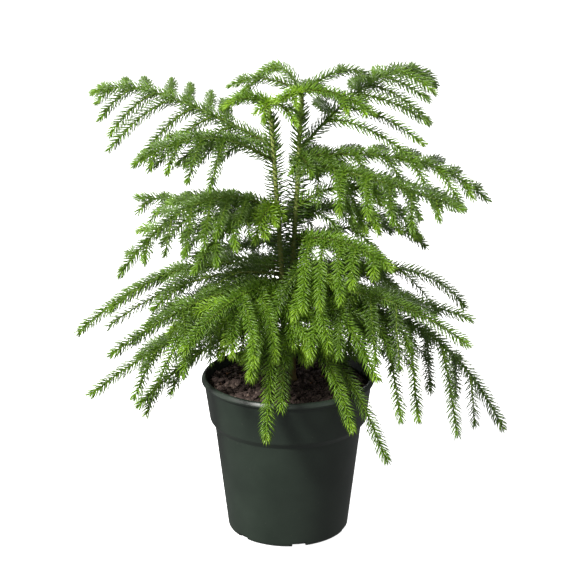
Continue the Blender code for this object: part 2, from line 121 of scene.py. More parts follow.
class Finish:
    """A Principled material with short ways to mottle its colour and to roughen its surface."""

    def __init__(self, name, colour, roughness, specular):
        self.material = bpy.data.materials.new(name)
        self.material.use_nodes = True
        self.tree = self.material.node_tree
        self.shader = self.tree.nodes["Principled BSDF"]
        self.shader.inputs["Base Color"].default_value = (*colour, 1.0)
        self.shader.inputs["Roughness"].default_value = roughness
        self.shader.inputs["Specular IOR Level"].default_value = specular
        self.place = self.tree.nodes.new("ShaderNodeTexCoord").outputs["Object"]

    def node(self, kind, values, links, operation=None):
        """A new node whose sockets hold plain values or read the outputs of other nodes."""
        made = self.tree.nodes.new("ShaderNode" + kind)
        if operation:
            made.operation = operation
        for socket, value in values.items():
            made.inputs[socket].default_value = value
        for socket, output in links.items():
            self.tree.links.new(output, made.inputs[socket])
        return made

    def stretched(self, scale):
        """The place, scaled along each axis, for a grain that runs one way."""
        return self.node("Mapping", {"Scale": scale}, {"Vector": self.place}).outputs["Vector"]

    def grain(self, scale, detail=4.0, place=None):
        """A noise from 0 to 1."""
        values = {"Scale": scale, "Detail": detail, "Roughness": GRAIN_ROUGHNESS}
        return self.node("TexNoise", values, {"Vector": place or self.place}).outputs["Fac"]

    def spread(self, value, source=(0.0, 1.0), target=(0.0, 1.0)):
        """Map one range of a value onto another."""
        ends = dict(zip(("From Min", "From Max", "To Min", "To Max"), (*source, *target)))
        return self.node("MapRange", ends, {"Value": value}).outputs["Result"]

    def added(self, value, amount, base):
        """A value, times an amount, on top of a base."""
        return self.node("Math", {1: amount}, {0: value, 2: base}, "MULTIPLY_ADD").outputs["Value"]

    def ramp(self, value, stops):
        """A colour for each value, from (value, colour) stops."""
        made = self.node("ValToRGB", {}, {"Fac": value})
        while len(made.color_ramp.elements) < len(stops):
            made.color_ramp.elements.new(0.5)
        for element, (place, colour) in zip(made.color_ramp.elements, stops):
            element.position = place
            element.color = (*colour, 1.0)
        return made.outputs["Color"]

    def colour_from(self, colour):
        self.tree.links.new(colour, self.shader.inputs["Base Color"])

    def roughness_from(self, value, low, high):
        self.tree.links.new(self.spread(value, target=(low, high)), self.shader.inputs["Roughness"])

    def bump_from(self, value, strength, depth):
        bump = self.node("Bump", {"Strength": strength, "Distance": depth}, {"Height": value})
        self.tree.links.new(bump.outputs["Normal"], self.shader.inputs["Normal"])


# %% Helper for mottled finishes
MOTTLE_EDGES = (0.35, 0.65)       # where in the grain the dark and the light tone are reached
BUMP_FINER = 8.0                  # how much finer the bump is than the mottling


def mottled(name, dark, light, roughness, specular, scale, bump=0.0, depth=0.0):
    """A finish whose colour wanders between two tones, with a fine grain if bump is given."""
    middle = tuple((a + b) / 2.0 for a, b in zip(dark, light))
    made = Finish(name, middle, roughness, specular)
    made.colour_from(made.ramp(made.grain(scale), list(zip(MOTTLE_EDGES, (dark, light)))))
    if bump:
        made.bump_from(made.grain(scale * BUMP_FINER), bump, depth)
    return made.material


# %% [markdown]
# Every piece is a mesh in metres that rides on the plant's one body. One helper gives it its
# finish and says which solids it stands for.

# %% Helpers for pieces
def nodes_called(*starts):
    """The names of the solids that start in one of these ways."""
    return sorted(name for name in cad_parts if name.startswith(starts))


def keep(name, mesh, material, replaced, smooth=True):
    """Make a mesh a finished piece of the plant."""
    mesh.name = name
    mesh.materials.clear()
    mesh.materials.append(material)
    mesh.shade_smooth() if smooth else mesh.shade_flat()
    piece = bpy.data.objects.new(name, mesh)
    scene.collection.objects.link(piece)
    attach(piece, "root")
    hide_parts(*replaced)
    print(name, "triangles:", sum(len(face.vertices) - 2 for face in mesh.polygons))
    return piece


def mesh_of(bm, name):
    """The mesh that a bmesh holds; the bmesh is used up."""
    mesh = bpy.data.meshes.new(name)
    bm.to_mesh(mesh)
    bm.free()
    return mesh


def evaluated_mesh(thing):
    """The mesh that an object's curve or modifiers make; the object itself is removed."""
    bpy.context.view_layer.update()
    shown = thing.evaluated_get(bpy.context.evaluated_depsgraph_get())
    mesh = bpy.data.meshes.new_from_object(shown)
    bpy.data.objects.remove(thing, do_unlink=True)
    return mesh


def between(ends, share):
    """The value at a share of the way from the first end to the second."""
    return ends[0] + (ends[1] - ends[0]) * share


# %% [markdown]
# The pot is a thin moulded shell: a foot with small drainage notches, a tapering body, a wider band
# above a step, and a rolled lip. Only its base is thick, so that the notches are pockets in the
# foot. It could be a cylinder pushed into shape, but a turned thing is made best as it is on a
# lathe: one wall profile, its corners rounded, spun round the axis.

# %% Pot profile, in millimetres
POT_HEIGHT = 147.0
POT_FLOOR = 7.0
POT_OUTSIDE = [                   # radius, height and corner radius, from the foot to the lip
    (50.6, 0.0, 0.5), (54.6, 2.2, 1.6), (55.1, 6.0, 0.0), (66.3, 101.0, 0.6), (70.6, 106.4, 1.2),
    (75.4, 140.0, 0.8), (77.9, 141.8, 1.2), (78.0, 143.4, 2.0), (75.9, POT_HEIGHT, 1.4),
]
POT_INSIDE = [                    # the same, from the lip to the floor
    (74.3, 146.6, 0.6), (69.0, 106.8, 1.0), (64.8, 101.4, 1.0), (53.6, POT_FLOOR, 1.0),
]


def radius_at(rows, height):
    """Radius of the pot's outside or inside at a height."""
    heights, radii = zip(*sorted((row[1], row[0]) for row in rows))
    return np.interp(height, heights, radii)


print("pot's inner radius at mid height:", round(radius_at(POT_INSIDE, POT_HEIGHT / 2.0), 1))

# %% Pot shell
POT_SIDES = 128
CORNER_STEPS = 3
MERGE_DISTANCE = 0.00001          # metres
SHORTEST_EDGE = 0.000001


def spin_profile(rows):
    """Turn a run of (radius, height, corner) rows, both ends on the axis, into a solid."""
    bm = bmesh.new()
    corners = [bm.verts.new((radius * MM, 0.0, height * MM)) for radius, height, _ in rows]
    for pair in zip(corners, corners[1:]):
        bm.edges.new(pair)
    for corner, (_, _, rounding) in zip(corners, rows):
        if rounding:
            bmesh.ops.bevel(bm, geom=[corner], offset=rounding * MM, offset_type="OFFSET",
                            segments=CORNER_STEPS, profile=0.5, affect="VERTICES", material=-1)
    bmesh.ops.spin(bm, geom=list(bm.verts) + list(bm.edges), cent=(0.0, 0.0, 0.0),
                   axis=(0.0, 0.0, 1.0), angle=2.0 * math.pi, steps=POT_SIDES, use_merge=True,
                   use_duplicate=False)
    bmesh.ops.remove_doubles(bm, verts=bm.verts, dist=MERGE_DISTANCE)
    bmesh.ops.dissolve_degenerate(bm, edges=bm.edges, dist=SHORTEST_EDGE)
    bmesh.ops.recalc_face_normals(bm, faces=bm.faces)
    return bm


profile = [(0.0, 0.0, 0.0)] + POT_OUTSIDE + POT_INSIDE + [(0.0, POT_FLOOR, 0.0)]
shell_mesh = mesh_of(spin_profile(profile), "pot_shell")
pot_shell = bpy.data.objects.new("pot_shell", shell_mesh)
scene.collection.objects.link(pot_shell)
print("pot shell faces:", len(pot_shell.data.polygons))

# %% Drainage notches in the foot
NOTCH_COUNT = 6
NOTCH_FIRST_AZIMUTH = 281.0
NOTCH_SIZE = (30.0, 13.0, 4.0)    # in and out from the foot's edge, across, and up
FOOT_RADIUS = POT_OUTSIDE[1][0]
deep, across, tall = (size * MM for size in NOTCH_SIZE)
out = Matrix.Translation((FOOT_RADIUS * MM, 0.0, 0.0))
block = Matrix.Diagonal((deep, across, 2.0 * tall, 1.0))
notch_bm = bmesh.new()
for index in range(NOTCH_COUNT):
    azimuth = NOTCH_FIRST_AZIMUTH + index * 360.0 / NOTCH_COUNT
    turn = Matrix.Rotation(math.radians(azimuth), 4, "Z")
    bmesh.ops.create_cube(notch_bm, size=1.0, matrix=turn @ out @ block)
notches = bpy.data.objects.new("notches", mesh_of(notch_bm, "notches"))
scene.collection.objects.link(notches)
cut = pot_shell.modifiers.new("cut", "BOOLEAN")
cut.operation = "DIFFERENCE"
cut.solver = "EXACT"
cut.object = notches
pot_mesh = evaluated_mesh(pot_shell)
bpy.data.objects.remove(notches, do_unlink=True)
print("faces with the notches cut:", len(pot_mesh.polygons))

# %% [markdown]
# The plastic is a blackish green with a satin skin. Handling leaves it a little cloudy and specked
# with potting dust, so the colour drifts slowly, a few pale specks sit on it, and the roughness
# changes from patch to patch, which breaks up the reflections.

# %% Pot finish
POT_GREEN = (0.016, 0.025, 0.018)
POT_CLOUD = (0.024, 0.036, 0.026)
POT_DUST = (0.120, 0.125, 0.105)
NO_DUST, HALF_DUST = (0.0, 0.0, 0.0), (0.5, 0.5, 0.5)
pot_finish = Finish("satin_pot_plastic", POT_GREEN, roughness=0.42, specular=0.6)
cloudy = pot_finish.grain(scale=22.0)
clouds = pot_finish.ramp(cloudy, [(0.35, POT_GREEN), (0.70, POT_CLOUD)])
dust = pot_finish.tree.nodes.new("ShaderNodeMix")
dust.data_type = "RGBA"
dust.inputs["B"].default_value = (*POT_DUST, 1.0)
specked = pot_finish.grain(scale=420.0, detail=2.0)
specks = pot_finish.ramp(specked, [(0.72, NO_DUST), (0.80, HALF_DUST)])
pot_finish.tree.links.new(specks, dust.inputs["Factor"])
pot_finish.tree.links.new(clouds, dust.inputs["A"])
pot_finish.colour_from(dust.outputs["Result"])
pot_finish.roughness_from(pot_finish.grain(scale=35.0), low=0.32, high=0.55)
pot_finish.bump_from(pot_finish.grain(scale=900.0, detail=3.0), strength=0.12, depth=0.0002)
keep("nursery_pot", pot_mesh, pot_finish.material, ["pot"])

# %% [markdown]
# The soil is a bark mix: a dark, lumpy bed with chips and crumbs lying on it. A displaced disc
# alone looks like dough, so real little chips are scattered over it, each one a lump with its own
# size and tilt.

# %% Soil surface, in millimetres
SOIL_TOP = 135.0
SOIL_GAP = 0.5                    # between the soil and the pot's wall
SOIL_WAVES = [(0.055, 3.0, 2.2), (0.19, 7.0, 0.9)]  # fineness, layer of the noise and height
SOIL_RISE, SOIL_RISE_RADIUS = 1.6, 70.0
soil_radius = radius_at(POT_INSIDE, SOIL_TOP) - SOIL_GAP


def soil_height(x, y):
    """Height of the soil: low lumps, and a slight rise against the pot."""
    height = SOIL_TOP
    for fineness, layer, lift in SOIL_WAVES:
        height += lift * noise.noise(Vector((x * fineness, y * fineness, layer)))
    return height + SOIL_RISE * (math.hypot(x, y) / SOIL_RISE_RADIUS) ** 4


print("soil radius:", round(soil_radius, 1), "height in the middle:", round(soil_height(0, 0), 1))

# %% Soil bed
SOIL_SIDES = 96
SOIL_RINGS = 26
RINGS_REACH = 0.97                # share of the radius that the rings of the surface take up
SURFACE_FROM = 0.9                # share of the soil's height over which points belong to it
SOIL_FOOT = POT_FLOOR + 0.3       # a hair over the pot's floor
SOIL_LEVELS = (SOIL_FOOT, POT_INSIDE[2][1], POT_INSIDE[1][1], SOIL_TOP)
SOIL_DARK = (0.022, 0.014, 0.012)
SOIL_BROWN = (0.070, 0.046, 0.038)
bed = bmesh.new()
loops = []
for height in SOIL_LEVELS:
    ring = bmesh.ops.create_circle(bed, segments=SOIL_SIDES,
                                   radius=(radius_at(POT_INSIDE, height) - SOIL_GAP) * MM,
                                   matrix=Matrix.Translation((0.0, 0.0, height * MM)))["verts"]
    loops.append([edge for edge in bed.edges if set(edge.verts) <= set(ring)])
for lower, upper in zip(loops, loops[1:]):
    bmesh.ops.bridge_loops(bed, edges=lower + upper)
bmesh.ops.contextual_create(bed, geom=loops[0])
surface = bmesh.ops.contextual_create(bed, geom=loops[-1])["faces"]
for _ in range(SOIL_RINGS):
    bmesh.ops.inset_region(bed, faces=surface, use_even_offset=True,
                           thickness=RINGS_REACH * soil_radius / SOIL_RINGS * MM)
bmesh.ops.poke(bed, faces=surface)
for vert in bed.verts:
    if vert.co.z > SURFACE_FROM * SOIL_TOP * MM:
        vert.co.z = soil_height(vert.co.x / MM, vert.co.y / MM) * MM
bmesh.ops.recalc_face_normals(bed, faces=bed.faces)
soil_finish = mottled("moist_soil", SOIL_DARK, SOIL_BROWN, roughness=0.92, specular=0.25,
                      scale=260.0, bump=0.9, depth=0.0012)
keep("soil_bed", mesh_of(bed, "soil_bed"), soil_finish, ["soil"])

# %% [markdown]
# Anything that is repeated hundreds or thousands of times is stamped: a small mesh is made once
# with bmesh, and its points are then turned, scaled and placed for all copies in one array sum.

# %% Stamping helper
def template_of(bm):
    """Points and triangles of a small mesh, ready for stamping."""
    bmesh.ops.triangulate(bm, faces=bm.faces)
    bm.verts.index_update()
    points = np.array([vert.co[:] for vert in bm.verts])
    faces = np.array([[vert.index for vert in face.verts] for face in bm.faces])
    bm.free()
    return points, faces


def stamped_mesh(name, points, faces):
    """One mesh from copies: points are copies x corners x 3, in millimetres, faces one copy's."""
    copies, corners = points.shape[:2]
    every = (faces[None] + corners * np.arange(copies)[:, None, None]).reshape(-1, 3)
    mesh = bpy.data.meshes.new(name)
    mesh.vertices.add(copies * corners)
    mesh.vertices.foreach_set("co", (points * MM).astype(np.float32).ravel())
    mesh.loops.add(every.size)
    mesh.loops.foreach_set("vertex_index", every.astype(np.int32).ravel())
    mesh.polygons.add(len(every))
    mesh.polygons.foreach_set("loop_start", np.arange(0, every.size, 3, dtype=np.int32))
    mesh.update(calc_edges=True)
    return mesh


# %% One bark chip
LUMP_SCALE = 2.6
LUMP_STEP = 3.7                   # through the noise, from one kind of chip to the next
LUMP_DEPTH = 0.55


def chip_template(kind):
    """A rough flattened lump of bark, one unit across."""
    bm = bmesh.new()
    bmesh.ops.create_icosphere(bm, subdivisions=1, radius=0.5)
    for vert in bm.verts:
        push = noise.noise(vert.co * LUMP_SCALE + Vector((kind * LUMP_STEP, 0.0, 0.0)))
        vert.co *= 1.0 + LUMP_DEPTH * push
    return template_of(bm)


print("chip triangles:", len(chip_template(0)[1]))

# %% Scattering the chips
CHIP_WIDTH = (0.5, 0.9)           # least and most, as shares of a chip's length
CHIP_THICKNESS = (0.35, 0.7)
CHIP_TILT = (-0.7, 0.7)           # radians
ANY_TURN = (0.0, 2.0 * math.pi)
CHIP_LIFT = 0.18                  # how far a chip's middle is over the soil, as a share of its size
CHIP_EDGE_ROOM = 3.0
SMALL_CHIPS = 2.0                 # the higher, the more of them are small


def scattered_chips(points, count, sizes, chance):
    """Copies of a chip's points, turned, sized and laid on the soil."""
    size = between(sizes, chance.random(count) ** SMALL_CHIPS)
    shape = size[:, None] * np.stack([np.ones(count), chance.uniform(*CHIP_WIDTH, count),
                                      chance.uniform(*CHIP_THICKNESS, count)], axis=1)
    turns = [Matrix.Rotation(chance.uniform(*ANY_TURN), 3, "Z")
             @ Matrix.Rotation(chance.uniform(*CHIP_TILT), 3, "X")
             @ Matrix.Rotation(chance.uniform(*CHIP_TILT), 3, "Y") for _ in range(count)]
    far = (soil_radius - CHIP_EDGE_ROOM) * np.sqrt(chance.random(count))
    round_at = chance.uniform(*ANY_TURN, count)
    spots = np.stack([far * np.cos(round_at), far * np.sin(round_at)], axis=1)
    heights = [soil_height(x, y) for x, y in spots] + CHIP_LIFT * size
    placed = np.einsum("nij,nvj->nvi", np.array(turns), points[None] * shape[:, None])
    return placed + np.column_stack([spots, heights])[:, None]


# %% Bark chips and crumbs
CHIP_KINDS = [                    # name, count, smallest and largest size, dark and light colour
    ("bark_chips_dark", 1150, (2.0, 9.0), (0.046, 0.030, 0.026), (0.105, 0.074, 0.064)),
    ("bark_chips_brown", 520, (1.8, 7.5), (0.095, 0.066, 0.055), (0.190, 0.140, 0.118)),
    ("bark_chips_rust", 60, (1.6, 5.0), (0.170, 0.080, 0.040), (0.260, 0.140, 0.070)),
]
chips_chance = np.random.default_rng(SEED)
for kind, (name, count, sizes, dark, light) in enumerate(CHIP_KINDS):
    points, faces = chip_template(kind)
    placed = scattered_chips(points, count, sizes, chips_chance)
    finish = mottled(name, dark, light, roughness=0.85, specular=0.3, scale=320.0, bump=0.6,
                     depth=0.0005)
    keep(name, stamped_mesh(name, placed, faces), finish, ["soil"], smooth=False)

# %% [markdown]
# The plant grows by one rule. Each stem carries whorls of boughs, each bough is an arc, and each
# bough carries twigs on alternate sides that lean forward and sag. The tables below are that plan.
# A row is a bough's root above its whorl, its azimuth from +X in degrees, its reach, lift and arch
# in millimetres, and the tone of its needles, from 0 for the deep green of old inner growth to 3
# for the newest. The tone is also painted light: on one whorl the boughs on the back, away from
# the lamps, get the deep green as painted shade, and those in front the fresh green as painted
# light. The young boughs round a leader need no root height, because they share its length.

# %% The plan of the crown
# The deep tone is partly painted shade on the back boughs, and the fresh tone is partly painted
# light on the front ones.
DEEP_SHADED, MATURE, FRESH_LIT, NEW = range(4)
STEMS = {                         # depth of each stem, and its x at heights, in millimetres
    "left": {"y": 3.0, "centre": [(135, -5.5), (190, -3.5), (225, -4.5), (290, -8.5),
                                  (342, -12.0), (373, -14.0), (389, -16.5)]},
    "right": {"y": 9.0, "centre": [(135, 4.5), (185, 3.5), (225, 3.5), (265, 5.0),
                                   (330, 9.0), (365, 10.0), (397, 12.0)]},
}
WHORLS = [
    ("right", 346, [
        (4, 30, 142, 44, 16, MATURE), (-6, 70, 130, -62, 24, MATURE),
        (-1, 350, 165, -31, 10, MATURE), (-6, 320, 175, -12, 4, MATURE),
        (-1, 285, 42, -6, 4, MATURE),
    ]),
    ("right", 298, [
        (0, 342, 113, -17, 32, FRESH_LIT), (-5, 40, 108, -24, 10, MATURE),
        (0, 88, 130, -48, 8, DEEP_SHADED),
    ]),
    ("right", 266, [
        (0, 22, 130, -17, 10, DEEP_SHADED), (3, 318, 112, -3, 11, FRESH_LIT),
        (-5, 65, 150, -62, 24, DEEP_SHADED),
    ]),
    ("right", 224, [
        (12, 290, 92, -39, 30, FRESH_LIT), (4, 15, 164, -34, 14, MATURE),
        (-1, 350, 160, -18, 9, MATURE), (-6, 323, 185, -8, 20, MATURE),
        (-1, 52, 165, -40, 25, DEEP_SHADED), (3, 92, 160, -45, 30, DEEP_SHADED),
    ]),
    ("right", 196, [
        (12, 304, 128, -30, 30, FRESH_LIT), (-4, 352, 191, -90, 40, MATURE),
        (4, 30, 164, -54, 15, DEEP_SHADED), (-4, 72, 160, -75, 40, DEEP_SHADED),
    ]),
    ("right", 180, [
        (1, 312, 122, -84, 30, MATURE), (6, 300, 104, -61, 26, FRESH_LIT),
        (-4, 265, 106, -26, 30, MATURE),
    ]),
    ("left", 352, [
        (4, 165, 165, 38, 6, MATURE), (-10, 200, 126, 8, 22, MATURE),
        (-4, 130, 120, -30, 20, DEEP_SHADED),
    ]),
    ("left", 298, [
        (3, 166, 129, 1, 0, MATURE), (-2, 205, 148, -37, 36, MATURE),
        (-2, 135, 122, -45, 10, DEEP_SHADED), (2, 245, 46, -18, 12, NEW),
        (-12, 228, 106, -20, 23, MATURE),
    ]),
    ("left", 262, [
        (8, 120, 130, -46, 4, DEEP_SHADED), (-12, 142, 87, -13, 3, DEEP_SHADED),
    ]),
    ("left", 239, [
        (4, 172, 186, -66, 29, MATURE), (0, 200, 159, -29, 18, DEEP_SHADED),
        (-5, 218, 181, -30, 13, MATURE),
    ]),
    ("left", 226, [
        (2, 236, 146, -18, 17, FRESH_LIT), (-4, 254, 100, -45, 28, FRESH_LIT),
    ]),
    ("left", 204, [
        (7, 262, 103, -87, 40, FRESH_LIT), (2, 195, 175, -63, 17, MATURE),
        (-3, 215, 151, -52, 14, MATURE), (-3, 150, 165, -55, 25, DEEP_SHADED),
        (2, 110, 160, -60, 30, DEEP_SHADED),
    ]),
    ("left", 185, [
        (0, 248, 70, -20, 12, FRESH_LIT),
    ]),
]
TIP_WHORLS = [
    ("right", [
        (130, 56, 8, 16, MATURE), (175, 63, 6, 10, MATURE), (15, 62, 8, 8, MATURE),
        (245, 45, 2, 2, NEW), (70, 45, -8, 6, MATURE), (335, 68, -14, 7, FRESH_LIT),
    ]),
    ("left", [
        (150, 48, -10, 12, MATURE), (205, 40, 2, 6, FRESH_LIT), (262, 30, -10, 6, NEW),
        (308, 40, -14, 6, FRESH_LIT),
    ]),
]
NODS = {                          # how far the tips of some boughs bend over
    "left_2a": 20.0, "right_2a": 30.0, "right_2c": 18.0, "right_4a": 16.0, "right_5b": 26.0,
    "right_6b": 28.0, "right_top2": 10.0,
}
print("whorls:", len(WHORLS) + len(TIP_WHORLS))

# %% Stem lines and bough arcs
NOD_POWER = 6                     # the higher, the nearer its tip a bough bends over


def stem_point(stem, height):
    plan = STEMS[stem]
    heights, offsets = zip(*plan["centre"])
    return np.array([np.interp(height, heights, offsets), plan["y"], height])


def stem_top(stem):
    return STEMS[stem]["centre"][-1][0]


class Bough:
    """One bough of the plan: an arc that leaves a stem."""

    def __init__(self, name, root, azimuth, reach, lift, arch, tone, young=False):
        turn = math.radians(azimuth)
        self.name = name
        self.stem = name.split("_")[0]
        self.root = root
        self.away = np.array([math.cos(turn), math.sin(turn), 0.0])
        self.reach, self.lift, self.arch = reach, lift, arch
        self.tone = tone
        self.young = young
        self.nod = NODS.get(name, 0.0)

    def points(self, shares):
        """Points at shares of the bough's length."""
        shares = np.atleast_1d(shares)[:, None]
        rise = self.lift * shares + 4.0 * self.arch * shares * (1.0 - shares)
        rise += self.nod * (shares - shares ** NOD_POWER)
        return self.root + self.away * self.reach * shares + UP * rise


# %% The boughs
LEADER_LENGTH = 9.0
TIP_WHORL_START, TIP_WHORL_SPAN = 0.35, 0.45  # as shares of the leader
boughs = []
whorls_on = {stem: 1 for stem in STEMS}
for stem, height, rows in WHORLS:
    whorls_on[stem] += 1
    for letter, (rise, *shape) in zip("abcdefgh", rows):
        name = f"{stem}_{whorls_on[stem]}{letter}"
        boughs.append(Bough(name, stem_point(stem, height + rise), *shape))
for stem, rows in TIP_WHORLS:
    top = stem_point(stem, stem_top(stem))
    for index, row in enumerate(rows):
        foot = top + UP * LEADER_LENGTH * (TIP_WHORL_START + TIP_WHORL_SPAN * index / len(rows))
        boughs.append(Bough(f"{stem}_top{index}", foot, *row, young=True))
print("boughs:", len(boughs))

# %% [markdown]
# How a bough's twigs grow is its habit. They stand on alternate sides at a pitch, from the first to
# the last share of the bough, at an angle from it. A twig takes a share, the taper, of what is left
# of the bough, up to the longest. Its tip sags by a share of its length. The plant has grown with
# its front, at -Y, to a window, and on the side away from it the twigs sag less, by the value
# called light. The needles have one length at a shoot's root and one at its end, and the tip gives
# their angle at the very end and the share of length that they lose there. Three habits serve high,
# low and young boughs, and HABITS changes single values for some boughs.

# %% Habits
HIGH_WHORLS = 280.0               # boughs rooted above this are high ones
HABIT_HIGH = dict(pitch=9.6, taper=0.80, longest=64.0, sag=0.58, first=0.14, last=0.96,
                  light=0.8, angle=60.0, needle=(11.2, 9.6), tip=(18.0, 0.30))
HABIT_LOW = dict(pitch=12.5, taper=0.75, longest=66.0, sag=0.66, first=0.12, last=0.62,
                 light=0.4, angle=60.0, needle=(11.6, 10.2), tip=(24.0, 0.25))
HABIT_YOUNG = dict(pitch=11.5, taper=0.70, longest=24.0, sag=0.42, first=0.55, last=0.96,
                   light=0.8, angle=60.0, needle=(9.4, 8.0), tip=(14.0, 0.35))
HABITS = {
    "left_2a": dict(first=0.2, light=1.1),
    "left_2b": dict(first=0.36, longest=56.0, pitch=9.5),
    "left_2c": dict(longest=34.0, pitch=12.0),
    "left_3b": dict(longest=50.0, taper=0.65),
    "left_3c": dict(longest=26.0, pitch=14.0),
    "left_3d": dict(longest=16.0, pitch=7.0),
    "left_3e": dict(longest=22.0, pitch=10.0),
    "left_4a": dict(last=0.7, angle=30.0, pitch=20.0, longest=45.0, sag=0.3, light=0.0),
    "left_4b": dict(last=0.7, angle=30.0, pitch=16.0, longest=30.0, sag=0.3, light=0.0),
    "left_5a": dict(last=0.6, angle=30.0, pitch=22.0, longest=50.0, sag=0.35, light=0.0),
    "left_5b": dict(last=0.6, angle=30.0, pitch=22.0, longest=40.0, sag=0.35, light=0.0),
    "left_7b": dict(first=0.2, last=0.7),
    "left_7c": dict(last=0.45),
    "right_2a": dict(first=0.2, pitch=6.8, longest=86.0, sag=0.5),
    "right_2b": dict(longest=28.0, pitch=15.0),
    "right_2c": dict(pitch=12.0),
    "right_2d": dict(longest=42.0, pitch=12.5),
    "right_2e": dict(longest=16.0, pitch=8.0),
    "right_3a": dict(first=0.4),
    "right_3b": dict(longest=32.0),
    "right_3c": dict(longest=16.0, pitch=12.0),
    "right_4a": dict(longest=34.0),
    "right_4b": dict(last=0.9, pitch=9.0, sag=0.8, light=0.2),
    "right_4c": dict(longest=36.0, pitch=16.0),
    "right_6b": dict(last=0.85, angle=76.0, pitch=14.0, longest=70.0, taper=1.0, sag=1.0,
                     light=-0.2),
}


def habit_of(bough):
    if bough.young:
        common = HABIT_YOUNG
    else:
        common = HABIT_HIGH if bough.root[2] > HIGH_WHORLS else HABIT_LOW
    return {**common, **HABITS.get(bough.name, {})}


print("boughs with a habit of their own:", len(HABITS))

# %% [markdown]
# A shoot is a line of points with a core that tapers and needles that stand off it. Boughs, twigs
# and the two leaders are all shoots, so one list holds them. A twig that would run into the pot or
# the soil, or hang before the pot's mouth, is shortened until it is clear, and left out if too
# little remains.

# %% Shoots
PLAIN_TIP = (9.0, 0.55)           # angle of the last needles, and the share of length they lose


def unit(vector):
    return vector / max(np.linalg.norm(vector), 1e-9)


class Shoot:
    """A line with a core and needles, each given by its value at the root and at the tip."""

    def __init__(self, stem, points, core, needle, tone, density, tip=PLAIN_TIP, bare=0.0,
                 kind="twig"):
        self.stem, self.points, self.core, self.needle = stem, points, core, needle
        self.tone, self.density, self.bare, self.kind = tone, density, bare, kind
        self.tip_angle, self.tip_loss = tip
        steps = np.linalg.norm(np.diff(points, axis=0), axis=1)
        self.at = np.concatenate([[0.0], np.cumsum(steps)])
        self.length = self.at[-1]


# %% Room round the pot
POT_ROOM = 6.0
SKIRT_BACK = 10.0                 # up to this y the twigs over the pot's mouth
SKIRT_HEIGHT = 160.0              # end above this height,
SKIRT_SLOPE = 0.30                # and higher the further they hang in front


def hits_pot(points):
    """True for each point that is too near the pot's wall or the soil."""
    across = np.hypot(points[:, 0], points[:, 1])
    height = points[:, 2]
    wall = radius_at(POT_OUTSIDE, height)
    near = (height < POT_HEIGHT + POT_ROOM) & (across < wall + POT_ROOM)
    inside = (across < soil_radius - POT_ROOM) & (height > SOIL_TOP + POT_ROOM)
    return near & ~inside


def hides_soil(points):
    """True if a twig's end hangs in front of the pot's mouth."""
    x, y, z = points[-1]
    return abs(x) < POT_OUTSIDE[-1][0] and y < SKIRT_BACK and z < SKIRT_HEIGHT - SKIRT_SLOPE * y


def is_clear(points):
    return not (hits_pot(points).any() or hides_soil(points))


# %% The arc of a twig
BACK_TURN = 20.0                  # how much wider the twigs stand on the side away from the window
LEVEL_OUT = 0.4                   # how much of its bough's climb a twig follows
TWIG_POINTS = 11
ANGLE_CHANCE, SAG_CHANCE = 7.0, 0.10
LOOK_ALONG = 0.01                 # share of the bough on either side that gives its direction
FORWARD_CURVE, OUTWARD_CURVE = 0.08, 0.10  # a twig turns along its bough by these
SAG_POWER = 1.8                   # the higher, the later along itself a twig sags


def twig_points(bough, share, side, length, habit, chance):
    """The arc of one twig: forward and outward from the bough, turning along it and sagging."""
    root = bough.points(share)[0]
    along = bough.points(share + LOOK_ALONG)[0] - bough.points(share - LOOK_ALONG)[0]
    along = unit(along * (1.0, 1.0, LEVEL_OUT))
    across = unit(np.cross(UP, along)) * side
    shaded = max(0.0, across[1])
    angle = habit["angle"] + BACK_TURN * shaded + chance.uniform(-ANGLE_CHANCE, ANGLE_CHANCE)
    angle = math.radians(angle)
    sag = habit["sag"] + chance.uniform(-SAG_CHANCE, SAG_CHANCE)
    sag *= 1.0 - habit["light"] * shaded
    part = np.linspace(0.0, 1.0, TWIG_POINTS)
    forward = math.cos(angle) * part + FORWARD_CURVE * part ** 2
    outward = math.sin(angle) * part - OUTWARD_CURVE * part ** 2
    fall = -sag * part ** SAG_POWER
    level = forward[:, None] * along + outward[:, None] * across
    return root + length * (level + fall[:, None] * UP)


# %% Growing the twigs of a bough
TWIG_SHORTEST = 8.0
TWIG_EXTRA = 3.0                  # what a twig has beyond the taper
TWIG_LENGTH_CHANCE = (0.86, 1.06)
TWIG_PITCH_CHANCE = (0.85, 1.15)
TWIG_TRIMS = (1.0, 0.85, 0.7, 0.55, 0.4)
BRIGHTER_BELOW, DARKER_ABOVE = 0.22, 0.90
TWIG_CORE, YOUNG_TWIG_CORE = (0.72, 0.42), (0.6, 0.4)
TWIG_DENSITY = 2.4                # needles on each millimetre
shoots = []


def grow_twigs(bough, chance):
    habit = habit_of(bough)
    core = YOUNG_TWIG_CORE if bough.young else TWIG_CORE
    share, side = habit["first"], chance.choice((-1, 1))
    while share < habit["last"]:
        full = min(habit["longest"], habit["taper"] * bough.reach * (1.0 - share) + TWIG_EXTRA)
        full *= chance.uniform(*TWIG_LENGTH_CHANCE)
        state = chance.random()
        luck = chance.random()
        for trim in TWIG_TRIMS:
            length = full * trim
            points = twig_points(bough, share, side, length, habit, random.Random(state))
            if length < TWIG_SHORTEST or is_clear(points):
                break
        if length >= TWIG_SHORTEST and is_clear(points):
            tone = bough.tone + (luck < BRIGHTER_BELOW) - (luck > DARKER_ABOVE)
            tone = min(NEW, max(DEEP_SHADED, tone))
            shoots.append(Shoot(bough.stem, points, core, habit["needle"], tone, TWIG_DENSITY,
                                habit["tip"]))
        share += habit["pitch"] * chance.uniform(*TWIG_PITCH_CHANCE) / bough.reach
        side = -side


